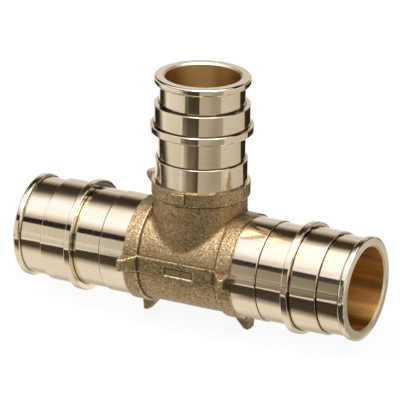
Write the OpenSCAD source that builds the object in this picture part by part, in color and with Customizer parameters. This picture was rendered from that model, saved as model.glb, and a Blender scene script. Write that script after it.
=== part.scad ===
// Brass expansion tee: a forged centre with three turned, ribbed tails for plastic tube.
// The run lies along X, the branch stands up along Z, and the two axes cross at the origin.

/* [Bores] */
// Bore through the run
run_bore_d = 21.5; // [20:0.1:27]
// Bore down the branch
branch_bore_d = 19.3; // [12:0.1:21]
// Chamfer at the mouth of each bore
bore_chamfer = 0.45; // [0.1:0.05:0.8]

/* [Forged centre] */
// Middle of the tee to the end of the forging along the run
run_reach = 15.2; // [12.6:0.1:20]
// Run axis to the end of the forging up the branch
branch_reach = 21; // [18.5:0.1:28]
// Wall of the barrel round the run bore
run_barrel_wall = 2.1; // [1.5:0.05:3]
// Wall of the barrel round the branch bore
branch_barrel_wall = 2.3; // [1.6:0.05:3]
// Radius of the blend between the two barrels, where the forging has room for it
saddle_fillet = 1.8; // [1:0.1:4]

/* [Flanges] */
// Length of each run flange
run_flange_len = 4; // [2.5:0.1:5]
// Height of the run flange over the run barrel
run_flange_rise = 0.75; // [0.6:0.05:2]
// Length of the branch flange
branch_flange_len = 3.7; // [1.5:0.1:5]
// Height of the branch flange over the branch barrel
branch_flange_rise = 0.65; // [0.4:0.05:2]
// Rounding of the inner flange edges
flange_round = 0.45; // [0.2:0.05:0.6]

/* [Stops and pad] */
// Height of the ring stops over the run flange
run_stop_rise = 3.4; // [1.5:0.1:5]
// Height of the ring stop over the branch flange
branch_stop_rise = 2.4; // [1.5:0.1:4]
// Length of the stop on the branch, along the branch
branch_stop_len = 4; // [2.6:0.1:6]
// Width of a stop at its nose
stop_width = 3; // [1.5:0.1:4]
// Length of the flat nose of a stop, rounding included
stop_tip = 1.3; // [1.2:0.1:2.4]
// Rounding of the two ends of the nose
stop_nose = 0.6; // [0.3:0.05:0.6]
// Slope of the two sides of a stop, in degrees
stop_draft = 10; // [0:1:20]
// Width of the flat pad on the front of the run barrel
pad_width = 4.4; // [2:0.1:8]
// Height of the pad over the run barrel
pad_rise = 0.5; // [0.2:0.05:1.2]
// Width of the low block on the front of the branch flange
block_width = 3.7; // [2:0.1:6]
// Length of the low block, up the branch
block_len = 2.6; // [1:0.1:3]
// Height of the low block over the branch flange
block_rise = 0.45; // [0.2:0.05:1]

/* [Run tails] */
// Wall of the tail at the first land
run_wall = 1.9; // [1.2:0.05:3]
// Length of the end lip
run_lip_len = 1.9; // [1.4:0.1:3]
// Height of the end lip over the first land
run_lip_rise = 0.75; // [0.2:0.05:2]
// Length of the first land
run_land1_len = 6.1; // [3:0.1:10]
// Length of the second land
run_land2_len = 7.4; // [3:0.1:10]
// Height of the second land over the first
run_land2_rise = 0.65; // [0.2:0.05:2]
// Length of the collar
run_collar_len = 1.85; // [1.4:0.05:4]
// Height of the collar over the first land
run_collar_rise = 1.8; // [1:0.05:3]
// Length of the third land
run_land3_len = 7.75; // [4:0.05:12]
// Height of the third land over the first
run_land3_rise = 0.1; // [0:0.05:0.6]
// Length of the fourth land
run_land4_len = 7.1; // [3:0.1:10]
// Height of the fourth land over the first
run_land4_rise = 0.4; // [0.1:0.05:1]

/* [Branch tail] */
// Wall of the tail at the first land
branch_wall = 1.3; // [1:0.05:3]
// Length of the end lip
branch_lip_len = 2; // [1.4:0.1:3]
// Height of the end lip over the first land
branch_lip_rise = 1.4; // [0.2:0.05:2]
// Length of the first land
branch_land1_len = 5.3; // [3:0.1:10]
// Length of the second land
branch_land2_len = 5.3; // [3:0.1:10]
// Height of the second land over the first
branch_land2_rise = 1.3; // [0.2:0.05:2]
// Length of the collar
branch_collar_len = 2; // [1.4:0.1:4]
// Height of the collar over the first land
branch_collar_rise = 2.2; // [1:0.05:3]
// Length of the third land
branch_land3_len = 7; // [4:0.1:12]
// Height of the third land over the first
branch_land3_rise = 0.2; // [0:0.05:0.6]
// Length of the fourth land
branch_land4_len = 6; // [3:0.1:10]
// Height of the fourth land over the first
branch_land4_rise = 0.85; // [0.1:0.05:1]

/* [Turned edges] */
// Rounding of the end lips
lip_round = 0.6; // [0.1:0.05:0.6]
// Rounding of the collars
collar_round = 0.3; // [0.1:0.05:0.5]
// Rounding of the step edges
step_round = 0.15; // [0.05:0.05:0.2]

/* [Hidden] */
$fn = 96;

turned_brass = [0.86, 0.75, 0.52];
forged_brass = [0.60, 0.47, 0.28];

run_bore_r = run_bore_d / 2;
branch_bore_r = branch_bore_d / 2;
run_barrel_r = run_bore_r + run_barrel_wall;
branch_barrel_r = branch_bore_r + branch_barrel_wall;
run_flange_r = run_barrel_r + run_flange_rise;
branch_flange_r = branch_barrel_r + branch_flange_rise;

// Zone lengths of a tail from the mouth inwards: lip, land 1, land 2, collar, land 3, land 4
run_lens = [run_lip_len, run_land1_len, run_land2_len, run_collar_len, run_land3_len, run_land4_len];
branch_lens = [branch_lip_len, branch_land1_len, branch_land2_len, branch_collar_len, branch_land3_len,
    branch_land4_len];

// Zone heights of a tail over its first land, in the same order
run_rises = [run_lip_rise, 0, run_land2_rise, run_collar_rise, run_land3_rise, run_land4_rise];
branch_rises = [branch_lip_rise, 0, branch_land2_rise, branch_collar_rise, branch_land3_rise,
    branch_land4_rise];

// Turns about the run from the branch to its stops: front, bottom and back
run_stop_turns = [90, 180, 270];

// Length of the run barrel beside the branch, and where the blend is cut off inside the run flanges
saddle_end = run_reach - flange_round;
saddle_room = max(saddle_end - branch_barrel_r, 0);
// Radius of the ball whose path gives the blend: where the blend is cut off, it is no higher than the flange
saddle_ball = min(saddle_fillet, run_flange_rise + saddle_room + sqrt(2 * run_flange_rise * saddle_room));
// Steps round the saddle and steps across its blend
saddle_steps = 120;
blend_steps = 6;
// Height of a step's bow over its chord, and depth of the edges of the blend under the barrels
saddle_bow = branch_barrel_r * (1 / cos(180 / saddle_steps) - 1);
saddle_sink = 1.5 * saddle_bow;
// Depth to which the blend and the raised details reach into the metal under them
saddle_root = 0.8;
detail_root = 1.2;
// Length by which a bore cutter passes the end of the forging
cut_over = 1;

// Sum of the first count entries of a list
function total(list, count) = count == 0 ? 0 : list[count - 1] + total(list, count - 1);

// Unit vector part of the way round from a to b
function between(a, b, share) =
    let (angle = acos(a * b))
    (sin((1 - share) * angle) * a + sin(share * angle) * b) / sin(angle);

// Half section of a ring from y0 to y1, with its outer edges rounded by e0 at y0 and by e1 at y1
module ring_section(r_in, r_out, y0, y1, e0, e1) {
    deep = max(e0, e1);
    translate([r_in, y0])
        square([r_out - deep - r_in, y1 - y0]);
    translate([r_in, y0 + e0])
        square([r_out - r_in, y1 - y0 - e0 - e1]);
    if (e0 > 0)
        translate([r_out - e0, y0 + e0])
            circle(e0);
    if (e1 > 0)
        translate([r_out - e1, y1 - e1])
            circle(e1);
}

// Turned tail that stands on z = 0 with its mouth at the top
module tail(bore_r, wall, lens, rises) {
    land_r = bore_r + wall;
    end = total(lens, len(lens));
    lip_y = end - total(lens, 1);
    step1_y = end - total(lens, 2);
    collar_top_y = end - total(lens, 3);
    collar_y = end - total(lens, 4);
    step2_y = end - total(lens, 5);
    collar_mid_y = (collar_top_y + collar_y) / 2;
    rotate_extrude()
        difference() {
            union() {
                ring_section(bore_r, land_r, collar_mid_y, lip_y + lip_round, 0, 0);
                ring_section(bore_r, land_r + rises[4], 0, collar_mid_y, 0, 0);
                ring_section(bore_r, land_r + rises[0], lip_y, end, lip_round, lip_round);
                ring_section(bore_r, land_r + rises[2], collar_mid_y, step1_y, 0, step_round);
                ring_section(bore_r, land_r + rises[3], collar_y, collar_top_y, collar_round, collar_round);
                ring_section(bore_r, land_r + rises[5], 0, step2_y, 0, step_round);
            }
            polygon([[bore_r, end - bore_chamfer], [bore_r + bore_chamfer, end], [bore_r, end]]);
        }
}

// Flange ring that ends at z = reach: rounded towards the forging and faced square towards the tail
module flange(bore_r, flange_r, reach, len) {
    rotate_extrude()
        ring_section(bore_r, flange_r, reach - len, reach, flange_round, 0);
}

// Side view of a stop: a flat face to the tail, a flat nose with round ends and a ramp back to the forging
module stop_side(base_r, rise, len) {
    top = base_r + rise;
    crest = [-stop_tip, top];
    ramp = atan2(rise, len - stop_tip);
    touch = stop_nose * tan(ramp / 2);
    polygon([[-len, base_r - detail_root], [-len, base_r], crest - touch * [cos(ramp), sin(ramp)],
        crest + [touch, 0], [-stop_nose, top], [0, top - stop_nose], [0, base_r - detail_root]]);
    for (x = [touch - stop_tip, -stop_nose])
        translate([x, top - stop_nose])
            circle(stop_nose);
}

// Ring stop on top of a flange that runs along +X and ends at x = reach
module ring_stop(reach, base_r, rise, len) {
    half = stop_width / 2;
    foot_half = half + (rise + detail_root) * tan(stop_draft);
    intersection() {
        translate([reach, foot_half, 0])
            rotate([90, 0, 0])
                linear_extrude(2 * foot_half)
                    stop_side(base_r, rise, len);
        translate([reach - len, 0, 0])
            rotate([90, 0, 90])
                linear_extrude(len)
                    polygon([[-foot_half, base_r - detail_root], [foot_half, base_r - detail_root],
                        [half, base_r + rise], [-half, base_r + rise]]);
    }
}

// Blend round the foot of the branch, as left by a ball that rolls in the corner of the two barrels
module saddle() {
    ball = saddle_ball;
    run_r = run_barrel_r - saddle_sink;
    branch_r = branch_barrel_r + saddle_bow - saddle_sink;
    side = blend_steps + 4;
    points = [
        for (i = [0 : saddle_steps - 1])
            let (
                turn = 360 * i / saddle_steps,
                out = [cos(turn), sin(turn), 0],
                y = (branch_r + ball) * sin(turn),
                z = sqrt(pow(run_r + ball, 2) - y * y),
                centre = [(branch_r + ball) * cos(turn), y, z],
                up = [0, y, z] / norm([0, y, z])
            )
            each concat(
                [for (j = [0 : blend_steps]) centre - ball * between(out, up, j / blend_steps)],
                [for (inner = [up, (out + up) / (1 + out * up), out]) centre - (ball + saddle_root) * inner]
            )
    ];
    faces = [
        for (i = [0 : saddle_steps - 1], j = [0 : side - 1])
            let (
                a = i * side + j,
                b = i * side + (j + 1) % side,
                c = ((i + 1) % saddle_steps) * side + (j + 1) % side,
                d = ((i + 1) % saddle_steps) * side + j
            )
            each [[a, c, b], [a, d, c]]
    ];
    intersection() {
        polyhedron(points, faces);
        cube(2 * [saddle_end, branch_barrel_r + ball, branch_reach], center = true);
    }
}

// Flat pad along the front of the run barrel, between the flanges
module front_pad() {
    len = 2 * (run_reach - run_flange_len) + flange_round;
    translate([-len / 2, -run_barrel_r - pad_rise, -pad_width / 2])
        cube([len, pad_rise + detail_root, pad_width]);
}

// Low block on the front of the branch flange
module front_block() {
    translate([-block_width / 2, -branch_flange_r - block_rise, branch_reach - flange_round - block_len])
        cube([block_width, block_rise + detail_root, block_len]);
}

module along_x() {
    rotate([0, 90, 0])
        children();
}

module forged_body() {
    color(forged_brass)
        difference() {
            union() {
                translate([-run_reach + flange_round, 0, 0])
                    along_x()
                        cylinder(h = 2 * (run_reach - flange_round), r = run_barrel_r);
                cylinder(h = branch_reach - flange_round, r = branch_barrel_r);
                for (end = [0, 1])
                    mirror([end, 0, 0]) {
                        along_x()
                            flange(run_bore_r - detail_root, run_flange_r, run_reach, run_flange_len);
                        for (turn = run_stop_turns)
                            rotate([turn, 0, 0])
                                ring_stop(run_reach, run_flange_r, run_stop_rise, run_flange_len);
                    }
                flange(branch_bore_r - detail_root, branch_flange_r, branch_reach, branch_flange_len);
                rotate([0, -90, 0])
                    ring_stop(branch_reach, branch_flange_r, branch_stop_rise, branch_stop_len);
                saddle();
                front_pad();
                front_block();
            }
            translate([-run_reach - cut_over, 0, 0])
                along_x()
                    cylinder(h = 2 * (run_reach + cut_over), r = run_bore_r);
            cylinder(h = branch_reach + cut_over, r = branch_bore_r);
        }
}

module right_run_tail() {
    color(turned_brass)
        translate([run_reach, 0, 0])
            along_x()
                tail(run_bore_r, run_wall, run_lens, run_rises);
}

module left_run_tail() {
    mirror([1, 0, 0])
        right_run_tail();
}

module branch_tail() {
    color(turned_brass)
        translate([0, 0, branch_reach])
            tail(branch_bore_r, branch_wall, branch_lens, branch_rises);
}

forged_body();
left_run_tail();
right_run_tail();
branch_tail();
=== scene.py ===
"""Looks of a brass expansion tee: a forged centre, three turned and ribbed tails, and the studio round them.

Shapes are worked out in millimetres with numpy and put into the meshes in metres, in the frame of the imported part:
the run lies along X, the branch stands up along Z, and the flat pad of the forging looks to -Y.
"""
import logging
import math
from collections.abc import Callable
from dataclasses import dataclass
from enum import Enum, IntEnum
from functools import partial

import bpy
import numpy as np
from bpy.types import Collection, Material, Node, NodeSocket, NodeTree, Object
from mathutils import Matrix, Vector


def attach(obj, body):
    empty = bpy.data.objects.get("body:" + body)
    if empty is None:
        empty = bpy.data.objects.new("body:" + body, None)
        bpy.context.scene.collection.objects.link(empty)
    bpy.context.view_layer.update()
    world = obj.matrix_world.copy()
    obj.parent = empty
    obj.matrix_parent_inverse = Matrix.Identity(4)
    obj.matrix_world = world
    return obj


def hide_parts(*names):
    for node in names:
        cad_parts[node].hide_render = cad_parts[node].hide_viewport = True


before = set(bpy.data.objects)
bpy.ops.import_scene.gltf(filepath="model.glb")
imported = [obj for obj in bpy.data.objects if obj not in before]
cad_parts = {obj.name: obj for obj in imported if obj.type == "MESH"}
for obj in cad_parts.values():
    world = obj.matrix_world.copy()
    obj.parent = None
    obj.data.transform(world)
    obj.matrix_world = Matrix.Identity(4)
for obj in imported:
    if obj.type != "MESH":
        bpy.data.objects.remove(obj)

Array = np.ndarray
Span = tuple[float, float]
MM = 0.001
NOISE_SPAN: Span = (0.3, 0.7)  # most of what a noise node gives lies between these
log = logging.getLogger("tee")


def linear(hex_colour: str) -> tuple[float, float, float, float]:
    """Turn an sRGB hex colour into linear RGBA.

    Args:
        hex_colour: Six hex digits after a hash sign.

    Returns:
        Linear red, green and blue, and an alpha of one.
    """
    parts = np.array([int(hex_colour[i:i + 2], 16) for i in (1, 3, 5)]) / 255
    red, green, blue = np.where(parts <= 0.04045, parts / 12.92, ((parts + 0.055) / 1.055) ** 2.4)
    return float(red), float(green), float(blue), 1.0


def add_node(tree: NodeTree, kind: str, inputs: dict | None = None, **settings: object) -> Node:
    """Add a node to a tree with its settings and links.

    Args:
        tree: Node tree that takes the node.
        kind: Blender's type name of the node.
        inputs: Socket name or number to a constant, to the socket that feeds it, or to a node whose first output does.
        settings: Properties of the node itself.

    Returns:
        The new node.
    """
    node = tree.nodes.new(kind)
    for name, value in settings.items():
        setattr(node, name, value)
    for socket, value in (inputs or {}).items():
        if isinstance(value, Node):
            tree.links.new(value.outputs[0], node.inputs[socket])
        elif isinstance(value, NodeSocket):
            tree.links.new(value, node.inputs[socket])
        else:
            node.inputs[socket].default_value = value
    return node


def new_material(name: str) -> tuple[Material, Callable[..., Node]]:
    """Make an empty node material.

    Args:
        name: Name of the finish.

    Returns:
        The material, and add_node for its cleared tree.
    """
    material = bpy.data.materials.new(name)
    material.use_nodes = True
    material.node_tree.nodes.clear()
    return material, partial(add_node, material.node_tree)


def mesh_object(name: str, points: Array, quads: Array) -> Object:
    """Put points and four-sided faces into a smooth-shaded object at the origin.

    Args:
        name: Name of the object and its mesh.
        points: Corner points in millimetres, one row each.
        quads: Four point numbers a row, anticlockwise from outside.

    Returns:
        The linked object.
    """
    mesh = bpy.data.meshes.new(name)
    mesh.from_pydata((points * MM).tolist(), [], quads.tolist())
    mesh.polygons.foreach_set("use_smooth", np.ones(len(quads), bool))
    mesh.update()
    obj = bpy.data.objects.new(name, mesh)
    bpy.context.scene.collection.objects.link(obj)
    return obj


def rounded_outline(corners: Array, radii: Array, steps: int, holds: Array) -> Array:
    """Round the corners of a closed outline.

    Each corner becomes an arc that touches both of its sides: the arc starts r * tan(turn / 2) before the corner, its
    centre lies square to the incoming side, and its points are the start turned about that centre. A few points out on
    either side of each arc keep the shading of the straight sides flat; on a short side they draw together.

    Args:
        corners: Corner points in order, one row each.
        radii: Radius of each corner.
        steps: Pieces in each arc.
        holds: Rising distances from an arc to its holding points.

    Returns:
        The points of the rounded outline in order, with axes corner, point and coordinate.
    """
    to_next = np.roll(corners, -1, 0) - corners
    length = np.linalg.norm(to_next, axis=1)
    out = to_next / length[:, None]
    into = np.roll(out, 1, 0)
    turn = np.arctan2(into[:, 0] * out[:, 1] - into[:, 1] * out[:, 0], (into * out).sum(1))
    back = radii * np.tan(np.abs(turn) / 2)
    start, end = corners - into * back[:, None], corners + out * back[:, None]
    side = np.stack([-into[:, 1], into[:, 0]], 1) * np.sign(turn)[:, None]
    centre = start + side * radii[:, None]
    angle = turn[:, None] * np.linspace(0, 1, steps + 1)
    spoke = (start - centre)[:, None, :]
    arc = centre[:, None, :] + np.stack([
        spoke[..., 0] * np.cos(angle) - spoke[..., 1] * np.sin(angle),
        spoke[..., 0] * np.sin(angle) + spoke[..., 1] * np.cos(angle)], -1)
    room = length - back - np.roll(back, -1)
    most_share = 0.45  # of a side, so that the holding points of its two ends never meet
    after = holds * np.minimum(1, most_share * room / holds[-1])[:, None]
    before = np.roll(after, 1, 0)
    return np.concatenate([
        start[:, None, :] - into[:, None, :] * before[:, ::-1, None], arc,
        end[:, None, :] + out[:, None, :] * after[:, :, None]], 1)


def surface_nets(field: Callable[[Array], Array], low: Array, high: Array, step: float) -> tuple[Array, Array]:
    """Skin the zero level of a distance field with quads.

    The field is read on a grid. A cell that the level passes through gets one point, at the mean of the places where
    the level cuts the edges of the cell, and each cut edge of the grid gets a quad of the four cells round it.

    Args:
        field: Signed distance for points whose last axis is x, y, z; negative inside.
        low: Lowest corner of the grid.
        high: Highest corner of the grid.
        step: Size of a cell.

    Returns:
        Points and quads, with the quads anticlockwise from outside.
    """
    axes = [np.arange(a, b + step, step) for a, b in zip(low, high)]
    value = field(np.stack(np.meshgrid(*axes, indexing="ij"), -1))
    cells = np.array(value.shape) - 1
    place = np.zeros((*cells, 3))
    count = np.zeros(cells)
    cuts = []
    for axis in range(3):
        near = np.take(value, range(cells[axis]), axis)
        far = np.take(value, range(1, cells[axis] + 1), axis)
        cut = (near < 0) != (far < 0)
        share = np.where(cut, near / np.where(cut, near - far, 1), 0)
        cuts.append((cut, near < 0))
        first, second = (axis + 1) % 3, (axis + 2) % 3
        for i in (0, 1):
            for j in (0, 1):
                window = [slice(None)] * 3
                window[first] = slice(i, i + cells[first])
                window[second] = slice(j, j + cells[second])
                met = cut[tuple(window)]
                place[..., axis] += share[tuple(window)]
                place[..., first] += i * met
                place[..., second] += j * met
                count += met
    active = count > 0
    number = np.full(cells, -1)
    number[active] = np.arange(active.sum())
    points = np.asarray(low) + step * (np.argwhere(active) + place[active] / count[active][:, None])
    quads = []
    for axis, (cut, leaving) in enumerate(cuts):
        first, second = (axis + 1) % 3, (axis + 2) % 3
        where = np.argwhere(cut)
        around = []
        for i, j in ((-1, -1), (0, -1), (0, 0), (-1, 0)):
            cell = where.copy()
            cell[:, first] += i
            cell[:, second] += j
            around.append(number[tuple(cell.T)])
        ring = np.stack(around, 1)
        quads.append(np.where(leaving[cut][:, None], ring, ring[:, ::-1]))
    return points, np.concatenate(quads)


def gradient(field: Callable[[Array], Array], points: Array, step: float) -> Array:
    """Take the slope of a field along x, y and z, one row a point, by differences of a step to each side."""
    shifts = np.eye(3) * step
    return np.stack([(field(points + s) - field(points - s)) / (2 * step) for s in shifts], 1)


def join_round(a: Array, b: Array, radius: float, lean: Array | float = 0.0) -> Array:
    """Unite two distance fields with a hollow blend, as left by a ball that rolls in the corner.

    The middle of the ball lies where both fields equal its radius. From there the way to a point has the parts
    u = radius - a and w = radius - b along the two slopes, so its length is
    sqrt((u^2 + w^2 - 2 * lean * u * w) / (1 - lean^2)), and the blend holds where that way runs between the slopes.

    Args:
        a: First distance.
        b: Second distance.
        radius: Radius of the ball.
        lean: Cosine of the angle between the slopes of the two fields.

    Returns:
        Signed distance to the blended union.
    """
    u, w = np.maximum(radius - a, 0), np.maximum(radius - b, 0)
    way = np.sqrt(np.maximum(u * u + w * w - 2 * lean * u * w, 0) / (1 - lean * lean))
    return np.where((u > lean * w) & (w > lean * u), radius - way, np.minimum(a, b))


def meet_round(a: Array, b: Array, radius: float) -> Array:
    """Take the common part of two distance fields with a rounded edge: the blend of their outsides, turned over."""
    return -join_round(-a, -b, radius)


@dataclass(frozen=True)
class TurnedBrass:
    """Free-cutting brass, turned on a lathe and left bright.

    The eye gets a pale champagne metal with clear bands of the studio in it, and fine rings left by the tool. A rougher
    one stands for the drilled bores; its warmer orange colour is painted light, the tint of light that goes from wall
    to wall.
    """

    name: str
    pale: str = "#eddec4"
    warm: str = "#e6d2b0"
    # Colour of the painted shade in the corners of the steps.
    painted_shade: str = "#1c130a"
    roughness: float = 0.11
    pull: float = 0.7
    ring_mm: float = 0.42
    ring_depth_mm: float = 0.0008
    patch_mm: float = 9.0
    tint_range: Span = (0.12, 0.42)
    gloss_range: Span = (0.25, 0.75)
    gloss_spread: Span = (0.85, 1.15)
    streak: float = 0.0
    streak_colour: str = "#5a3612"
    streak_scale: float = 2.6
    streak_draw: float = 8.0
    streak_range: Span = (0.4, 0.62)

    def material(self) -> Material:
        """Make the material.

        The UV map runs u along the turned outline in metres and v once round, so noise of u alone draws the tool's
        rings. Rings 0.1 mm apart would be too fine to show, so they are drawn coarser. Streaks along the axis are
        noise on a circle of one turn, drawn out along u. A point attribute darkens the corners of the steps with
        painted shade.

        Returns:
            The material of the finish.
        """
        material, add = new_material(self.name)
        place = add("ShaderNodeTexCoord")
        outline = add("ShaderNodeUVMap", uv_map="turning")
        along = add("ShaderNodeSeparateXYZ", {0: outline})
        rings = add("ShaderNodeTexNoise", {
            "W": along.outputs[0], "Scale": 1 / (self.ring_mm * MM), "Detail": 3.0, "Roughness": 0.65},
            noise_dimensions="1D")
        patch = add("ShaderNodeTexNoise", {
            "Vector": place.outputs["Object"], "Scale": 1 / (self.patch_mm * MM), "Detail": 2.0})
        tint = add("ShaderNodeMath", {0: rings, 1: patch}, operation="MULTIPLY")
        share = add("ShaderNodeMapRange", {0: tint, 1: self.tint_range[0], 2: self.tint_range[1]})
        angle = add("ShaderNodeMath", {0: along.outputs[1], 1: 2 * math.pi}, operation="MULTIPLY")
        east, north = (add("ShaderNodeMath", {0: angle}, operation=way) for way in ("COSINE", "SINE"))
        drawn = add("ShaderNodeMath", {0: along.outputs[0], 1: self.streak_draw}, operation="MULTIPLY")
        turned = add("ShaderNodeCombineXYZ", {0: east, 1: north, 2: drawn})
        streaks = add("ShaderNodeTexNoise", {
            "Vector": turned, "Scale": self.streak_scale, "Detail": 3.0, "Roughness": 0.55})
        stain = add("ShaderNodeMapRange", {
            0: streaks, 1: self.streak_range[0], 2: self.streak_range[1], 4: self.streak})
        # Painted shade: a point attribute darkens the corners of the steps.
        corner = add("ShaderNodeAttribute", attribute_name="painted_shade")
        colour = linear(self.pale)
        for cover, tone in ((share, self.warm), (stain, self.streak_colour),
                            (corner.outputs["Fac"], self.painted_shade)):
            layer = add("ShaderNodeMix", {0: cover, 6: colour, 7: linear(tone)}, data_type="RGBA")
            colour = layer.outputs[2]
        rough = add("ShaderNodeMapRange", {
            0: rings, 1: self.gloss_range[0], 2: self.gloss_range[1],
            3: self.roughness * self.gloss_spread[0], 4: self.roughness * self.gloss_spread[1]})
        bump = add("ShaderNodeBump", {"Height": rings, "Distance": self.ring_depth_mm * MM, "Strength": 1.0})
        tangent = add("ShaderNodeTangent", direction_type="UV_MAP", uv_map="turning")
        shader = add("ShaderNodeBsdfPrincipled", {
            "Base Color": colour, "Metallic": 1.0, "Roughness": rough,
            "Anisotropic": self.pull, "Normal": bump, "Tangent": tangent})
        add("ShaderNodeOutputMaterial", {0: shader})
        return material


@dataclass(frozen=True)
class CutBrass:
    """Brass that was faced, bored or deburred, without the rings of the turned tails.

    The eye gets a pale gloss on the faced ends, a warm wall in the bored centre, whose orange colour is painted light,
    and a dull rim round each mouth.
    """

    name: str
    pale: str = "#eddfc8"
    warm: str = "#e2cfad"
    roughness: float = 0.16
    gloss_spread: Span = (0.8, 1.25)
    streak_mm: float = 0.8

    def material(self) -> Material:
        """Make the material: colour and gloss vary a little with a fine noise of place.

        Returns:
            The material of the finish.
        """
        material, add = new_material(self.name)
        place = add("ShaderNodeTexCoord")
        streak = add("ShaderNodeTexNoise", {
            "Vector": place.outputs["Object"], "Scale": 1 / (self.streak_mm * MM), "Detail": 3.0})
        colour = add("ShaderNodeMix", {0: streak, 6: linear(self.pale), 7: linear(self.warm)}, data_type="RGBA")
        rough = add("ShaderNodeMapRange", {
            0: streak, 1: NOISE_SPAN[0], 2: NOISE_SPAN[1],
            3: self.roughness * self.gloss_spread[0], 4: self.roughness * self.gloss_spread[1]})
        shader = add("ShaderNodeBsdfPrincipled", {
            "Base Color": colour.outputs[2], "Metallic": 1.0, "Roughness": rough})
        add("ShaderNodeOutputMaterial", {0: shader})
        return material


@dataclass(frozen=True)
class ForgedBrass:
    """Hot-forged brass, blasted clean and not machined.

    The eye gets a dull olive gold skin with a sandy grain, bright specks and dark pits, and painted shade: darker
    in corners, and darker towards the bottom, on the two low ring stops.
    """

    name: str
    dark: str = "#9b8257"
    light: str = "#c1a57c"
    speck: str = "#ecdcb8"
    # Colour of the pits, and of the painted shade towards the bottom.
    pit: str = "#614c2f"
    # Colour of the painted shade in corners.
    corner: str = "#3a2b18"
    roughness: float = 0.34
    gloss_spread: Span = (0.1, -0.06)
    grain_mm: float = 0.5
    grain_depth_mm: float = 0.16
    cloud_mm: float = 2.6
    cloud_weight: float = 0.24
    tone_range: Span = (0.47, 0.77)
    edge_weight: float = 0.2
    speck_range: Span = (0.59, 0.72)
    speck_share: float = 0.9
    pit_range: Span = (0.43, 0.32)
    pit_share: float = 0.9
    # Painted shade in corners: where the bend falls from the first value to the second, up to this share.
    corner_shade_range: Span = (-0.15, -0.9)
    corner_shade_share: float = 0.72
    # Painted shade, darker towards the bottom: from the first height down to the second, up to this share.
    low_shade_range_mm: Span = (-13.6, -14.4)
    low_shade_share: float = 0.65

    def material(self) -> Material:
        """Make the material.

        Two sizes of noise give cloudy tone and sandy grain, drawn coarser than the real 0.2 mm grain so that it shows.
        The tops of the grain are specks of worn metal and its hollows are pits. A point attribute is above zero on
        raised edges, which show worn, and below zero in corners, which it darkens with painted shade. Painted shade
        also comes in with depth below the run.

        Returns:
            The material of the finish.
        """
        material, add = new_material(self.name)
        place = add("ShaderNodeTexCoord")
        grain = add("ShaderNodeTexNoise", {
            "Vector": place.outputs["Object"], "Scale": 1 / (self.grain_mm * MM), "Detail": 3.0, "Roughness": 0.6})
        cloud = add("ShaderNodeTexNoise", {
            "Vector": place.outputs["Object"], "Scale": 1 / (self.cloud_mm * MM), "Detail": 3.0})
        blend = add("ShaderNodeMath", {0: cloud, 1: self.cloud_weight, 2: grain}, operation="MULTIPLY_ADD")
        # Above zero on raised edges, for wear; below zero in corners, for painted shade.
        wear_and_shade = add("ShaderNodeAttribute", attribute_name="wear_and_shade")
        lifted = add("ShaderNodeMath", {
            0: wear_and_shade.outputs["Fac"], 1: self.edge_weight, 2: grain}, operation="MULTIPLY_ADD")
        spot = add("ShaderNodeSeparateXYZ", {0: place.outputs["Object"]})
        # Painted shade, darker towards the bottom of the forging.
        low_shade_range = tuple(height * MM for height in self.low_shade_range_mm)
        share, bright, sunk, hollow, low = (
            add("ShaderNodeMapRange", {0: source, 1: start, 2: full, 4: most})
            for source, (start, full), most in (
                (blend, self.tone_range, 1.0), (lifted, self.speck_range, self.speck_share),
                (grain, self.pit_range, self.pit_share),
                (wear_and_shade.outputs["Fac"], self.corner_shade_range, self.corner_shade_share),
                (spot.outputs[2], low_shade_range, self.low_shade_share)))
        colour = linear(self.dark)
        # The last two layers are painted shade: darker towards the bottom, in the pit colour, and darker in corners.
        for cover, tone in ((share, self.light), (bright, self.speck), (sunk, self.pit), (low, self.pit),
                            (hollow, self.corner)):
            layer = add("ShaderNodeMix", {0: cover, 6: colour, 7: linear(tone)}, data_type="RGBA")
            colour = layer.outputs[2]
        rough = add("ShaderNodeMapRange", {
            0: grain, 1: NOISE_SPAN[0], 2: NOISE_SPAN[1],
            3: self.roughness + self.gloss_spread[0], 4: self.roughness + self.gloss_spread[1]})
        bump = add("ShaderNodeBump", {"Height": grain, "Distance": self.grain_depth_mm * MM, "Strength": 1.0})
        shader = add("ShaderNodeBsdfPrincipled", {
            "Base Color": colour, "Metallic": 1.0, "Roughness": rough, "Normal": bump})
        add("ShaderNodeOutputMaterial", {0: shader})
        return material


class Heading(Enum):
    """Way that a tail points: the rows are its axis and the two directions across it."""

    RIGHT = ((1, 0, 0), (0, 1, 0), (0, 0, 1))
    LEFT = ((-1, 0, 0), (0, -1, 0), (0, 0, 1))
    UP = ((0, 0, 1), (1, 0, 0), (0, 1, 0))


class TailFinish(IntEnum):
    """Finishes of a tail. Where two meet on a face that is cut on both sides, the higher number holds."""

    OUTSIDE = 0
    BORE = 1
    CHAMFER = 2


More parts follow.
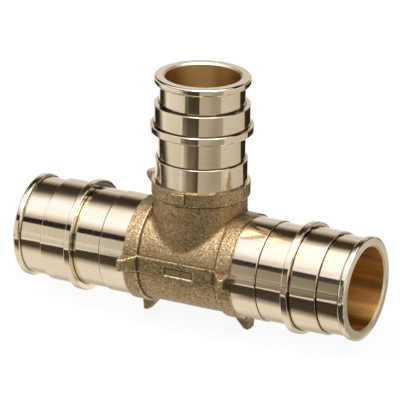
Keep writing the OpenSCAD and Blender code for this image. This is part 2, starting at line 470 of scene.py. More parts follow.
@dataclass
class TurnedTail:
    """One ribbed tail, turned from the forging: lip, land 1, land 2, collar, land 3 and land 4 from the mouth in.

    Lengths and rises go in that order, and a rise counts from the plain wall round the bore. Painted shade darkens the
    corners of the steps, and a field of its own gives its share at the joint with the forging. A point that is nearer
    to a surface than touch lies on it.
    """

    node: str
    heading: Heading
    reach: float
    bore_r: float
    wall: float
    lengths: tuple[float, ...]
    rises: tuple[float, ...]
    lip_round: float = 0.6
    collar_round: float = 0.3
    step_round: float = 0.2
    root_round: float = 0.06
    mouth_chamfer: float = 0.45
    mouth_round: float = 0.08
    turns: int = 288
    arc_steps: int = 5
    holds: tuple[float, ...] = (0.05, 0.16, 0.3)
    # Painted shade in the corners of the steps: its share beside each arc, its strength, and its share at the joint.
    painted_shade_beside: tuple[float, ...] = (1.0, 0.7, 0.0)
    painted_shade: float = 0.9
    joint_painted_shade: float = 0.3
    touch: float = 0.02

    def outline(self) -> tuple[Array, Array]:
        """Lay out the closed half section as radius and distance from the forging, corners rounded.

        Returns:
            Outline points, bore first, one row each, and how much painted shade each of them has: one in a corner, less
            beside it.
        """
        land = self.bore_r + self.wall
        lip, low, high, collar, inner, last = (land + rise for rise in self.rises)
        end = sum(self.lengths)
        ends = end - np.cumsum(self.lengths)
        lip_at, step_at, collar_end, collar_at, shoulder_at = ends[:5]
        mouth, root, fine = self.mouth_round, self.root_round, self.step_round
        # Columns: radius, distance from the forging, corner radius, and the painted shade of the corner.
        table = np.array([
            (self.bore_r, 0, mouth, 0), (self.bore_r, end - self.mouth_chamfer, mouth, 0),
            (self.bore_r + self.mouth_chamfer, end, mouth, 0), (lip, end, self.lip_round, 0),
            (lip, lip_at, self.lip_round, 0), (low, lip_at, root, 1), (low, step_at, root, 1),
            (high, step_at, fine, 0), (high, collar_end, root, 1), (collar, collar_end, self.collar_round, 0),
            (collar, collar_at, self.collar_round, 0), (inner, collar_at, root, 1), (inner, shoulder_at, root, 1),
            (last, shoulder_at, fine, 0), (last, 0, mouth, self.joint_painted_shade)])
        points = rounded_outline(table[:, :2], table[:, 2], self.arc_steps, np.array(self.holds))
        beside = np.array(self.painted_shade_beside)
        share = np.concatenate([beside[::-1], np.ones(self.arc_steps + 1), beside])
        return points.reshape(-1, 2), (table[:, 3:] * share * self.painted_shade).ravel()

    def build(self) -> Object:
        """Carry the outline once round the axis.

        A point at radius r, distance s and turn t lies at axis * (reach + s) + r * (across * cos t + up * sin t). The
        map has u along the outline in metres and v the share of a turn.

        Returns:
            The tail as one closed ring of quads.
        """
        outline, painted_shade = self.outline()
        axis, across, up = np.array(self.heading.value, float)
        turn = 2 * np.pi * np.arange(self.turns) / self.turns
        spokes = np.cos(turn)[:, None] * across + np.sin(turn)[:, None] * up
        points = (self.reach + outline[:, 1])[:, None, None] * axis + outline[:, 0][:, None, None] * spokes
        i, j = np.meshgrid(np.arange(len(outline)), np.arange(self.turns), indexing="ij")
        i, j = i.ravel(), j.ravel()
        i_next, j_next = (i + 1) % len(outline), (j + 1) % self.turns
        quads = np.stack([i * self.turns + j, i_next * self.turns + j, i_next * self.turns + j_next,
                          i * self.turns + j_next], 1)
        obj = mesh_object(self.node + "_turned", points.reshape(-1, 3), quads)
        radius, near_mouth = outline[:, 0], outline[:, 1] > sum(self.lengths) / 2
        finish = np.where(near_mouth & (radius < self.bore_r + self.mouth_chamfer + self.touch),
                          TailFinish.CHAMFER, TailFinish.OUTSIDE)
        finish[radius < self.bore_r + self.touch] = TailFinish.BORE
        lower, upper = np.sort(np.stack([finish[i], finish[i_next]]), 0)
        obj.data.polygons.foreach_set("material_index", np.where(
            lower > TailFinish.OUTSIDE, upper, TailFinish.OUTSIDE).astype(np.int32))
        walk = np.linalg.norm(np.roll(outline, -1, 0) - outline, axis=1)
        passed = np.concatenate([[0], np.cumsum(walk)]) * MM
        u = np.stack([passed[i], passed[i + 1], passed[i + 1], passed[i]], 1)
        v = np.stack([j, j, j + 1, j + 1], 1) / self.turns
        # Painted shade in the step corners, for the material to read.
        obj.data.attributes.new("painted_shade", "FLOAT", "POINT").data.foreach_set(
            "value", np.repeat(painted_shade, self.turns).astype(np.float32))
        layer = obj.data.uv_layers.new(name="turning")
        layer.data.foreach_set("uv", np.stack([u, v], -1).astype(np.float32).ravel())
        return obj

    def dress(self, obj: Object, finishes: tuple[Material, ...]) -> None:
        """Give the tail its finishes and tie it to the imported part.

        Args:
            obj: The built tail.
            finishes: Materials in the order of TailFinish.
        """
        for finish in finishes:
            obj.data.materials.append(finish)
        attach(obj, "root")
        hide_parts(self.node)


class CentreFinish(IntEnum):
    """Finishes of the forged centre."""

    RAW = 0
    FACED = 1
    BORED = 2


@dataclass
class ForgedBody:
    """The forged centre: two barrels with a saddle blend, three flanges, ring stops, front pad and low block.

    The panel is the bare recess in the pad, as left, right, low and high. Each row of crease_reach is a reach for the
    bend of the skin and its weight: the first for worn edges and painted shade in all corners, the second for a wider
    band of painted shade in the corners beside the flanges.
    """

    node: str = "forged_body"
    run_bore_r: float = 10.75
    branch_bore_r: float = 9.65
    run_reach: float = 15.2
    branch_reach: float = 21.0
    run_barrel_r: float = 12.85
    branch_barrel_r: float = 11.95
    saddle_r: float = 1.8
    most_lean: float = 0.98
    run_flange_r: float = 13.6
    run_flange_len: float = 4.0
    branch_flange_r: float = 12.6
    branch_flange_len: float = 3.7
    flange_round: float = 0.4
    root_round: float = 0.15
    run_stop_rise: float = 3.4
    branch_stop_rise: float = 2.4
    branch_stop_len: float = 4.0
    stop_width: float = 3.0
    stop_tip: float = 1.3
    stop_nose: float = 0.6
    stop_draft_deg: float = 10.0
    stop_edge: float = 0.25
    stop_root: float = 2.0
    pad_width: float = 4.4
    pad_rise: float = 0.5
    block_width: float = 3.7
    block_len: float = 2.6
    block_rise: float = 0.45
    detail_edge: float = 0.18
    panel: tuple[float, float, float, float] = (-3.4, 4.8, -1.6, 0.5)
    panel_depth: float = 0.3
    trim_width: float = 0.7
    trim_rise: float = 0.1
    cell: float = 0.29
    sharp_deg: float = 42.0
    # Reaches of the bend for worn edges and painted shade in all corners, and for the wider painted shade beside the
    # flanges.
    crease_reach: tuple[Span, Span] = ((0.35, 0.55), (0.8, 1.0))
    pull_rounds: int = 3
    pull_probe: float = 0.02
    least_slope_squared: float = 0.25
    normal_probe: float = 0.05
    least_normal: float = 0.5
    raw_depth: float = 0.06
    raw_fade: float = 0.05
    end_fade: float = 0.3
    face_touch: float = 0.03
    bore_touch: float = 0.1
    swells: int = 20
    swell_length: Span = (3.0, 9.0)
    swell_phase: Span = (0.0, 6.28)
    swell_height: float = 0.003
    pits: int = 240
    pit_width: Span = (0.25, 0.6)
    pit_depth: Span = (0.03, 0.11)
    seed: int = 7

    def stop(self, along: Array, out: Array, across: Array, base: float, rise: float, length: float) -> Array:
        """Distance to a ring stop.

        The stop is flat towards the tail at along = 0, has a flat nose and slopes back from it to its foot. The ends of
        the nose are rounded, and the two sides lean in by the draft angle.

        Args:
            along: Distance towards the tail from its flat face.
            out: Distance from the axis of the barrel, along the stop.
            across: Distance from the middle of the stop.
            base: Radius on which the stop stands.
            rise: Height of the stop.
            length: Length of its foot.

        Returns:
            Signed distance.
        """
        slope = math.atan2(rise, length - self.stop_tip)
        ramp = -(along + length) * math.sin(slope) + (out - base) * math.cos(slope)
        draft = math.radians(self.stop_draft_deg)
        tip = base + rise
        side = (np.abs(across) - self.stop_width / 2 - (tip - out) * math.tan(draft)) * math.cos(draft)
        front = meet_round(meet_round(along, out - tip, self.stop_nose), ramp, self.stop_nose)
        return np.maximum(meet_round(front, side, self.stop_edge), base - self.stop_root - out)

    def skin(self, points: Array) -> Array:
        """Distance to the raw forging, before any cut.

        Args:
            points: Places, last axis x, y, z in millimetres.

        Returns:
            Signed distance, negative inside.
        """
        x, y, z = np.moveaxis(points, -1, 0)
        run, branch = np.hypot(y, z), np.hypot(x, y)
        barrel = np.maximum(run - self.run_barrel_r, np.abs(x) - self.run_reach)
        pillar = np.maximum(branch - self.branch_barrel_r, np.maximum(z - self.branch_reach, -z))
        lean = np.minimum(y * y / np.maximum(run * branch, 1), self.most_lean)
        body = join_round(barrel, pillar, self.saddle_r, lean)
        flange = meet_round(self.run_reach - np.abs(x) - self.run_flange_len, run - self.run_flange_r,
                            self.flange_round)
        crown = meet_round(self.branch_reach - z - self.branch_flange_len, branch - self.branch_flange_r,
                           self.flange_round)
        body = join_round(body, np.minimum(flange, crown), self.root_round)
        end = np.abs(x) - self.run_reach
        stops = [self.stop(end, out, across, self.run_flange_r, self.run_stop_rise, self.run_flange_len)
                 for out, across in ((-y, z), (y, z), (-z, y))]
        stops.append(self.stop(z - self.branch_reach, -x, y, self.branch_flange_r, self.branch_stop_rise,
                               self.branch_stop_len))
        body = join_round(body, np.minimum.reduce(stops), self.root_round)
        inset = self.run_reach - self.run_flange_len + self.flange_round / 2
        pad = meet_round(np.maximum(np.abs(x) - inset, y + self.run_bore_r), meet_round(
            -y - self.run_barrel_r - self.pad_rise, np.abs(z) - self.pad_width / 2, self.detail_edge), self.detail_edge)
        middle = self.branch_reach - self.flange_round - self.block_len / 2
        low_block = meet_round(meet_round(
            -y - self.branch_flange_r - self.block_rise, np.abs(x) - self.block_width / 2, self.detail_edge),
            np.maximum(np.abs(z - middle) - self.block_len / 2, y + self.branch_bore_r), self.detail_edge)
        body = join_round(body, np.minimum(pad, low_block), self.detail_edge)
        left, right, low, high = self.panel
        sunk = np.maximum(np.maximum(left - x, x - right), np.maximum(low - z, z - high))
        sunk = np.maximum(sunk, y + self.run_barrel_r + self.pad_rise - self.panel_depth)
        body = np.maximum(body, -sunk)
        trim = np.maximum(np.abs(y) - self.trim_width / 2, body - self.trim_rise)
        return join_round(body, trim, self.trim_rise)

    def solid(self, points: Array) -> Array:
        """Distance to the finished centre: the raw forging faced at its three ends and bored through.

        Args:
            points: Places, last axis x, y, z in millimetres.

        Returns:
            Signed distance, negative inside.
        """
        x, y, z = np.moveaxis(points, -1, 0)
        faced = np.maximum(np.maximum(np.abs(x) - self.run_reach, z - self.branch_reach), self.skin(points))
        run_bore = self.run_bore_r - np.hypot(y, z)
        branch_bore = np.maximum(self.branch_bore_r - np.hypot(x, y), -z)
        return np.maximum(faced, np.maximum(run_bore, np.where(z > 0, branch_bore, run_bore)))

    def weathering(self, points: Array) -> Array:
        """Low swells and shallow pits of the forged skin.

        Swells are a sum of plane waves with random headings and lengths. A pit lowers the skin by its depth times
        exp(-distance^2 / width^2).

        Args:
            points: Points on the skin.

        Returns:
            Height to add along the normal.
        """
        draw = np.random.default_rng(self.seed)
        heading = draw.normal(size=(self.swells, 3))
        heading /= np.linalg.norm(heading, axis=1, keepdims=True)
        wave = 2 * np.pi / draw.uniform(*self.swell_length, self.swells)
        phase = draw.uniform(*self.swell_phase, self.swells)
        swell = np.sin(points @ (heading * wave[:, None]).T + phase).sum(1) * self.swell_height
        centres = points[draw.integers(0, len(points), self.pits)]
        width, depth = draw.uniform(*self.pit_width, self.pits), draw.uniform(*self.pit_depth, self.pits)
        apart = ((points[:, None, :] - centres) ** 2).sum(2)
        return swell - (depth * np.exp(-apart / width ** 2)).sum(1)

    def bend(self, points: Array, reach: float) -> Array:
        """Bend of the raw skin, the sum of the second differences of its distance: below zero in corners."""
        shifts = np.eye(3) * reach
        return (sum(self.skin(points + s) + self.skin(points - s) for s in shifts) - 6 * self.skin(points)) / reach ** 2

    def build(self) -> Object:
        """Skin the distance field, pull the points onto it and roughen the forged part.

        Each point moves by -d * slope / |slope|^2, which lands it on the level. A point attribute holds the bend of the
        raw
        skin: above zero on raised edges, for wear, and below zero in corners, for painted shade, with a wider band of
        painted shade beside the flange walls.

        Returns:
            The forged centre as one closed skin.
        """
        side = self.run_flange_r + self.run_stop_rise
        margin = 2 * self.cell
        low = -np.array([self.run_reach, side, side]) - margin
        high = np.array([self.run_reach, side, self.branch_reach]) + margin
        points, quads = surface_nets(self.solid, low, high, self.cell)
        for _ in range(self.pull_rounds):
            slope = gradient(self.solid, points, self.pull_probe)
            squared = np.maximum((slope ** 2).sum(1), self.least_slope_squared)
            move = self.solid(points)[:, None] * slope / squared[:, None]
            points = points - np.clip(move, -self.cell / 2, self.cell / 2)
        end_gap = np.minimum(self.run_reach - np.abs(points[:, 0]), self.branch_reach - points[:, 2])
        raw = np.clip((self.skin(points) + self.raw_depth) / self.raw_fade, 0, 1)
        raw *= np.clip(end_gap / self.end_fade, 0, 1)
        normal = gradient(self.skin, points, self.normal_probe)
        normal /= np.maximum(np.linalg.norm(normal, axis=1, keepdims=True), self.least_normal)
        # Worn edges above zero, painted shade in corners below zero, and beside the flange walls a wider band of
        # painted shade.
        edge, corner = (np.clip(self.bend(points, reach) * weight, -1, 1) for reach, weight in self.crease_reach)
        wall = np.minimum(np.abs(np.abs(points[:, 0]) - self.run_reach + self.run_flange_len),
                          np.abs(points[:, 2] - self.branch_reach + self.branch_flange_len))
        wear_and_shade = np.where((wall < self.crease_reach[1][0]) & (edge < 0), np.minimum(edge, corner), edge) * raw
        faces = points[quads].mean(1)
        x, y, z = faces.T
        faced = (self.run_reach - np.abs(x) < self.face_touch) & (z > -self.run_flange_r)
        faced |= self.branch_reach - z < self.face_touch
        bored = np.hypot(y, z) < self.run_bore_r + self.bore_touch
        bored |= (np.hypot(x, y) < self.branch_bore_r + self.bore_touch) & (z > 0)
        finish = np.where(faced, CentreFinish.FACED, np.where(bored, CentreFinish.BORED, CentreFinish.RAW))
        points = np.clip(points + normal * (self.weathering(points) * raw)[:, None],
                         (-self.run_reach, -side, -side), (self.run_reach, side, self.branch_reach))
        obj = mesh_object(self.node + "_forged", points, quads)
        obj.data.attributes.new("wear_and_shade", "FLOAT", "POINT").data.foreach_set("value", wear_and_shade.astype(np.float32))
        obj.data.polygons.foreach_set("material_index", finish.astype(np.int32))
        obj.data.set_sharp_from_angle(angle=math.radians(self.sharp_deg))
        return obj

    def dress(self, obj: Object, finishes: tuple[Material, ...]) -> None:
        """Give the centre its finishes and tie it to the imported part.

        Args:
            obj: The built centre.
            finishes: Materials in the order of CentreFinish.
        """
        for finish in finishes:
            obj.data.materials.append(finish)
        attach(obj, "root")
        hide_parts(self.node)


@dataclass(frozen=True)
class Card:
    """A studio card that only reflections see: four corners in millimetres, and how bright it is at each of them."""

    name: str
    corners: Array
    levels: tuple[float, ...]

    def build(self, finish: Material) -> None:
        """Make the card, which the camera, diffuse light and shadows do not see.

        Args:
            finish: Glowing material that reads the attribute level.
        """
        obj = mesh_object(self.name, self.corners, np.array([[0, 1, 2, 3]]))
        obj.data.attributes.new("level", "FLOAT", "POINT").data.foreach_set("value", self.levels)
        obj.data.materials.append(finish)
        obj.visible_camera = False
        obj.visible_diffuse = False
        obj.visible_shadow = False


class Lit(Enum):
    """What a lamp lights. The metal sees the softbox as a card, which has less noise, so that lamp is the floor's."""

    FLOOR = "matt floor"
    METAL = "all metal"
    FORGING = "forging only, as through a snoot"


@dataclass(frozen=True)
class Lamp:
    """A flat lamp that looks down unless it is tilted to the back: middle and size in millimetres, and its level."""

    name: str
    middle: tuple[float, float, float]
    size: tuple[float, float]
    level: float
    lights: Lit
    tilt_deg: float = 0.0

    def build(self, forging: Collection) -> None:
        """Make the lamp. The brightness of a flat lamp is its power over pi and its area.

        Args:
            forging: The pieces that a lamp with a snoot lights.
        """
        data = bpy.data.lights.new(self.name, "AREA")
        data.shape = "RECTANGLE"
        data.size, data.size_y = (length * MM for length in self.size)
        data.energy = self.level * math.pi * data.size * data.size_y
        obj = bpy.data.objects.new(self.name, data)
        obj.location = Vector(self.middle) * MM
        obj.rotation_euler.x = math.radians(self.tilt_deg)
        obj.visible_glossy = self.lights is not Lit.FLOOR
        obj.visible_diffuse = self.lights is Lit.FLOOR
        if self.lights is Lit.FORGING:
            obj.light_linking.receiver_collection = forging
        bpy.context.scene.collection.objects.link(obj)


@dataclass
class Studio:
    """Camera, floor, world, lamps, and the cards that the metal reflects.

    The box is the softbox over the front, as left, right, low and high. The powers of a card's level in tint_powers are
    its red, its blue where it is dim and its blue where it is bright, so dim cards are warm and bright ones cool.
    """

    azimuth_deg: float = 27.362
    elevation_deg: float = 19.891
    distance: float = 1239.573
    focal_px: float = 4880.532
    picture_px: float = 400.0
    sensor_mm: float = 36.0
    target: tuple[float, float, float] = (-0.2, 0.0, 15.07)
    roll_deg: float = 1.052
    floor_z: float = -17.05
    floor_size: float = 3000.0
    floor_matt: str = "#636363"
    floor_lift: float = 0.9
    floor_fade_mm: Span = (50.0, 130.0)
    clip_m: Span = (0.05, 20.0)
    world_fill: float = 0.45
    box: tuple[float, float, float, float] = (-700.0, 500.0, -650.0, 40.0)
    box_height: float = 420.0
    box_level: float = 1.34
    lamp_drop: float = 10.0
    card_lift: float = 0.3
    card_drop: float = 2.0
    front_y: float = -500.0
    back_y: float = 650.0
    left_x: float = -700.0
    right_x: float = 600.0
    floor_step: float = 0.02
    wall_step: float = 0.2
    tint_powers: tuple[float, float, float] = (0.93, 1.13, 1.6)

    def camera(self) -> None:
        """Place the camera that was fitted to the outlines of the object.

        It looks at the target from the given azimuth and elevation, turned about its own line of sight by the roll.
        """
        turn, tilt, roll = (math.radians(a) for a in (self.azimuth_deg, self.elevation_deg, self.roll_deg))
        back = Vector((math.sin(turn) * math.cos(tilt), -math.cos(turn) * math.cos(tilt), math.sin(tilt)))
        right = Vector((math.cos(turn), math.sin(turn), 0))
        up = back.cross(right)
        right, up = right * math.cos(roll) + up * math.sin(roll), up * math.cos(roll) - right * math.sin(roll)
        data = bpy.data.cameras.new("camera")
        data.sensor_width = self.sensor_mm
        data.lens = self.sensor_mm * self.focal_px / self.picture_px
        data.clip_start, data.clip_end = self.clip_m
        obj = bpy.data.objects.new("camera", data)
        place = (Vector(self.target) + back * self.distance) * MM
        obj.matrix_world = Matrix.Translation(place) @ Matrix((right, up, back)).transposed().to_4x4()
        bpy.context.scene.collection.objects.link(obj)
        bpy.context.scene.camera = obj

    def world(self) -> None:
        """Make the world: white where the camera and the metal look, and a plain fill for everything else."""
        scene = bpy.context.scene
        scene.world = bpy.data.worlds.new("studio")
        scene.world.use_nodes = True
        scene.world.node_tree.nodes.clear()
        add = partial(add_node, scene.world.node_tree)
        path = add("ShaderNodeLightPath")
        mirrored = add("ShaderNodeMath", {
            0: path.outputs["Is Glossy Ray"], 1: path.outputs["Is Transmission Ray"]}, operation="MAXIMUM")
        seen = add("ShaderNodeMath", {0: path.outputs["Is Camera Ray"], 1: mirrored}, operation="MAXIMUM")
        level = add("ShaderNodeMapRange", {0: seen, 3: self.world_fill, 4: 1.0})
        glow = add("ShaderNodeBackground", {"Color": (1, 1, 1, 1), "Strength": level})
        add("ShaderNodeOutputWorld", {0: glow})

    def floor(self) -> None:
        """Lay a pale floor that is matt near the object, where its shadow falls, and glows white further out."""
        half = self.floor_size / 2
        corners = np.array([(x * half, y * half, self.floor_z) for x, y in ((-1, -1), (1, -1), (1, 1), (-1, 1))])
        obj = mesh_object("floor", corners, np.array([[0, 1, 2, 3]]))
        material, add = new_material("matt white sweep")
        place = add("ShaderNodeTexCoord")
        reach = add("ShaderNodeVectorMath", {0: place.outputs["Object"]}, operation="LENGTH")
        fade = add("ShaderNodeMapRange", {
            0: reach.outputs["Value"], 1: self.floor_fade_mm[0] * MM, 2: self.floor_fade_mm[1] * MM},
            interpolation_type="SMOOTHSTEP")
        matt = add("ShaderNodeBsdfDiffuse", {"Color": linear(self.floor_matt)})
        lift = add("ShaderNodeEmission", {"Color": (1, 1, 1, 1), "Strength": self.floor_lift})
        near = add("ShaderNodeAddShader", {0: matt, 1: lift})
        glow = add("ShaderNodeEmission", {"Color": (1, 1, 1, 1), "Strength": 1.0})
        mixed = add("ShaderNodeMixShader", {0: fade, 1: near, 2: glow})
        add("ShaderNodeOutputMaterial", {0: mixed})
        obj.data.materials.append(material)

    def cards(self) -> list[Card]:
        """List the cards and dark flags that draw the bands in the bright metal.

        The flat ones lie on the floor, the upright ones stand in front, behind and at the sides, and the roof ones hang
        just under the softbox. Each later card of a side lies a step over the one before. Bearings run from -Y to +X.

        Returns:
            The cards.
        """
        def polar(distance: float, bearing: float) -> tuple[float, float]:
            """Place on the floor at a distance from the origin and a bearing in degrees."""
            return distance * math.sin(math.radians(bearing)), -distance * math.cos(math.radians(bearing))

        def wedge(first: float, last: float, near: float, far: float) -> tuple[tuple[float, float], ...]:
            """Corners between two bearings and two distances: near first, near last, far last, far first."""
            return polar(near, first), polar(near, last), polar(far, last), polar(far, first)

        def oblong(left: float, right: float, low: float, high: float) -> tuple[tuple[float, float], ...]:
            """Corners of an oblong: low left, low right, high right, high left."""
            return (left, low), (right, low), (right, high), (left, high)

        floor_cards = (
            ("near_card", oblong(-60, 60, -24, -9), (0.88,) * 4),
            ("mouth_card", oblong(48, 110, -16, 90), (0.41,) * 4),
            ("left_front_fade", ((-100, -29), (-24, -19.9), (-24, -29.2), (-100, -40)), (0.88, 0.88, 0.05, 0.05)),
            ("left_front_flag", ((-100, -40), (-24, -29.2), (-24, -76), (-100, -40.5)), (0.05, 0.05, 0.02, 0.02)),
            ("right_front_fade", ((-24, -23.5), (60, -10), (60, -15.7), (-24, -32.1)), (0.88, 0.88, 0.05, 0.06)),
            ("right_front_flag", ((-24, -32.1), (60, -15.7), (60, -44.7), (-24, -50.2)), (0.06, 0.04, 0.02, 0.02)),
            ("right_near_flag", ((27, -50), (60, -20), (100, -20), (40, -95)), (0.02,) * 4),
            ("under_fade", oblong(-52, 52, -9, -4.5), (0.88, 0.88, 0.52, 0.52)),
            ("under", oblong(-52, 52, -4.5, 3), (0.52, 0.48, 0.6, 1.1)),
            ("under_back", oblong(-52, 52, 3, 14), (1.1, 0.6, 0.9, 1.1)),
            ("belly_flag", oblong(-20, 10, -24, 5), (0.62,) * 4),
            ("left_far_card", ((-300, -42), (-24, -76), (-140, -420), (-600, -420)), (1.02, 0.62, 0.95, 1.02)),
            ("left_near_card", wedge(-36, -18.6, 76, 110), (0.32, 0.32, 0.5, 0.6)),
            ("lens_near", wedge(-18.6, 20, 57, 105), (0.42, 0.04, 0.0, 0.42)),
            ("lens_flag", wedge(-18.6, 20, 105, 190), (0.34, 0.02, 0.02, 0.04)),
            ("lens_blend", wedge(-18.6, -8, 105, 160), (0.66, 0.34, 0.24, 0.5)),
            ("lens_end", wedge(-18.6, 20, 190, 540), (0.03, 0.02, 0.06, 0.06)),
            ("lens_far_left", wedge(-18.6, -8, 215, 540), (0.46, 0.36, 0.3, 0.44)),
            ("lens_left", wedge(-26, -18.6, 100, 195), (0.82, 0.82, 0.8, 0.8)),
            ("lens_left_end", wedge(-26, -18.6, 195, 560), (0.6, 0.45, 0.3, 0.48)),
            ("right_card", wedge(20, 57, 105, 420), (0.52, 0.34, 0.34, 0.52)),
            ("right_card_end", wedge(57, 77, 105, 420), (0.34, 0.42, 0.42, 0.34)),
            ("far_right_card", (polar(105, 77), polar(105, 156), polar(420, 137), polar(420, 77)),
             (0.68, 0.58, 0.58, 0.68)),
            ("right_edge_flag", (polar(70, 161), polar(70, 186), polar(420, 186), polar(420, 138)),
             (0.02, 0.0, 0.0, 0.03)),
            ("left_edge_flag", ((-95, -53), (-240, 53), (-190, 190), (-100, 8)), (0.02, 0.02, 0.0, 0.0)),
            ("left_edge_fade", ((-95, -53), (-240, 53), (-240, 0), (-85, -85)), (0.02, 0.02, 0.95, 0.95)),
        )
        front_cards = (
            ("front_left", oblong(-900, -285, -16, 230), (0.85, 0.82, 0.82, 0.85)),
            ("front_blend", oblong(-285, -190, -16, 230), (0.82, 0.25, 0.1, 0.78)),
            ("front_right", ((-190, -16), (600, -16), (600, 150), (-190, 230)), (0.23, 0.13, 0.1, 0.1)),
            ("bar_left", oblong(-900, -300, 183, 340), (0.02, 0.02, 0.0, 0.0)),
            ("bar_middle", ((-300, 183), (-180, 163), (-180, 298), (-300, 340)), (0.02, 0.04, 0.0, 0.0)),
            ("bar_right", oblong(-180, -120, 163, 298), (0.04, 0.04, 0.0, 0.0)),
            ("front_top_left", ((-900, 340), (-240, 320), (-240, 419), (-900, 419)), (0.4, 0.4, 0.75, 0.75)),
            ("front_top_right", oblong(-240, -120, 298, 419), (1.45, 1.45, 1.5, 1.5)),
            ("front_far_right", oblong(-120, 600, 150, 419), (0.5, 0.5, 1.2, 1.2)),
        )
        roof_cards = (
            ("softbox_face", oblong(*self.box), (self.box_level,) * 4),
            ("roof_left", oblong(-900, -235, -500, -350), (0.76, 0.86, 1.31, 1.31)),
            ("roof_fade", ((-330, -140), (-185, 18), (-185, 148), (-330, -10)), (1.31, 1.31, 0.05, 0.05)),
            ("roof_fade_right", ((-185, 18), (-60, 40), (-60, 170), (-185, 148)), (1.31, 1.31, 0.05, 0.05)),
            ("roof_flag", ((-330, -10), (-185, 148), (-185, 372), (-330, 372)), (0.045, 0.045, 0.03, 0.03)),
            ("roof_flag_left", oblong(-900, -330, -10, 372), (0.045, 0.045, 0.03, 0.03)),
            ("roof_flag_right", ((-185, 148), (-60, 170), (-60, 372), (-185, 372)), (0.045, 0.045, 0.03, 0.03)),
            ("roof_flag_far", ((-60, 170), (700, 230), (700, 372), (-60, 372)), (0.03, 0.1, 0.1, 0.02)),
            ("roof_end", oblong(-900, 700, 372, 650), (0.02, 0.02, 0.62, 0.62)),
            ("shoulder_flag", oblong(150, 700, 200, 520), (0.02,) * 4),
        )
        back_cards = (
            ("back_wall", oblong(-1500, 100, -16, 419), (0.82, 0.82, 0.6, 0.6)),
            ("mouth_glow", oblong(-430, -240, 306, 320), (1.5,) * 4),
            ("back_right", oblong(100, 700, 60, 350), (0.02,) * 4),
        )
        left_cards = (("left_wall", oblong(-500, 650, 190, 360), (0.0,) * 4),)
        right_cards = (("right_wall", oblong(-300, 650, 190, 340), (0.02,) * 4),)
        east, north, up = np.eye(3)
        sides = (
            (floor_cards, up * (self.floor_z + self.card_lift), (east, north), up * self.floor_step),
            (front_cards, north * self.front_y, (east, up), north * self.wall_step),
            (roof_cards, up * (self.box_height - self.card_drop), (east, north), -up * self.wall_step),
            (back_cards, north * self.back_y, (east, up), -north * self.wall_step),
            (left_cards, east * self.left_x, (north, up), east * self.wall_step),
            (right_cards, east * self.right_x, (north, up), -east * self.wall_step),
        )
        return [Card(name, place + number * step + np.array(spots, float) @ np.array(along), levels)
                for cards, place, along, step in sides for number, (name, spots, levels) in enumerate(cards)]

    def lamps(self) -> tuple[Lamp, ...]:
        """List the lamps: the softbox over the front, four small ones for the forging and two for all the metal.

        Returns:
            The lamps.
        """
        left, right, low, high = self.box
        hung = self.box_height - self.lamp_drop
        return (
            Lamp("softbox", ((left + right) / 2, (low + high) / 2, self.box_height), (right - left, high - low),
                 self.box_level, Lit.FLOOR),
            Lamp("left_light", (-425, -230, hung), (150, 340), 0.8, Lit.FORGING),
            Lamp("flank_light", (-258, -336, hung), (160, 220), 1.8, Lit.FORGING),
            Lamp("saddle_light", (-205, 70, hung), (150, 180), 1.4, Lit.FORGING),
            Lamp("front_light", (-255, -480, 185), (180, 130), 1.9, Lit.FORGING, 90),
            Lamp("top_light", (10, -170, hung), (150, 390), 4.6, Lit.METAL),
            Lamp("right_light", (240, -95, hung), (320, 310), 1.8, Lit.METAL),
        )

    def build(self, forged: Object) -> None:
        """Set up the whole studio.

        Args:
            forged: The forged centre, which has lamps of its own.
        """
        bpy.context.scene.view_settings.view_transform = "Standard"
        self.camera()
        self.world()
        self.floor()
        forging = bpy.data.collections.new("forging")
        forging.objects.link(forged)
        for lamp in self.lamps():
            lamp.build(forging)
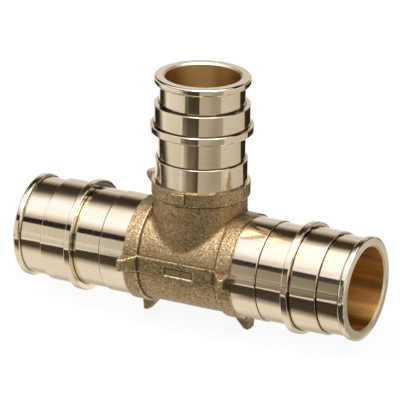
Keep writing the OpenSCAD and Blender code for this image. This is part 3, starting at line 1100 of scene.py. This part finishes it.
        # The cards give the eye the pale and dark bands in the metal. The level of a card is its green.
        material, add = new_material("studio card")
        level = add("ShaderNodeAttribute", attribute_name="level")
        red, dull, cool = (add("ShaderNodeMath", {0: level.outputs["Fac"], 1: power}, operation="POWER")
                           for power in self.tint_powers)
        blue = add("ShaderNodeMath", {0: dull, 1: cool}, operation="MAXIMUM")
        shade = add("ShaderNodeCombineColor", {0: red, 1: level.outputs["Fac"], 2: blue})
        glow = add("ShaderNodeEmission", {"Color": shade, "Strength": 1.0})
        add("ShaderNodeOutputMaterial", {0: glow})
        material.cycles.emission_sampling = "NONE"
        for card in self.cards():
            card.build(material)


def main() -> None:
    """Build the tee and its studio."""
    logging.basicConfig(level=logging.INFO, format="%(name)s: %(message)s")
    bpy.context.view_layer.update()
    turned = TurnedBrass("turned brass").material()
    run_turned = TurnedBrass("turned brass of the run", roughness=0.125, pull=0.9).material()
    # The bore colours are more orange than the turned brass: painted light, the tint of light that goes from wall to
    # wall.
    run_bore = TurnedBrass("bored brass of the run", pale="#ffd27a", warm="#f2ad4c", roughness=0.36, pull=0.95,
                           ring_depth_mm=0.002, streak=0.5).material()
    branch_bore = TurnedBrass("bored brass of the branch", pale="#f0cd8e", warm="#d5a760", roughness=0.31, pull=0.9,
                              ring_depth_mm=0.002).material()
    deburred = CutBrass("deburred brass", roughness=0.4).material()
    body = ForgedBody()
    run = (body.run_reach, body.run_bore_r, 1.9, (1.9, 6.1, 7.4, 1.85, 7.75, 7.1), (0.75, 0.0, 0.65, 1.8, 0.1, 0.4))
    # Each tail has its own strength of painted shade in the step corners.
    tails = [
        TurnedTail("left_run_tail", Heading.LEFT, *run, painted_shade=0.75),
        TurnedTail("right_run_tail", Heading.RIGHT, *run),
        TurnedTail("branch_tail", Heading.UP, body.branch_reach, body.branch_bore_r, 1.3,
                   (2.0, 5.3, 5.3, 2.0, 7.0, 6.0), (1.4, 0.0, 1.3, 2.2, 0.2, 0.85), painted_shade=0.85),
    ]
    for tail in tails:
        piece = tail.build()
        tail.dress(piece, (turned, branch_bore, deburred) if tail.heading is Heading.UP
                   else (run_turned, run_bore, deburred))
        log.info("%s: %d faces", piece.name, len(piece.data.polygons))
    piece = body.build()
    # The bore colour of the centre is more orange than the faced brass: painted light, the tint of light that goes from
    # wall to wall.
    body.dress(piece, (
        ForgedBrass("forged brass").material(), CutBrass("faced brass").material(),
        CutBrass("bored brass of the centre", pale="#dcae68", warm="#b5813a", roughness=0.4).material()))
    log.info("%s: %d faces", piece.name, len(piece.data.polygons))
    Studio().build(piece)


if __name__ == "__main__":
    main()
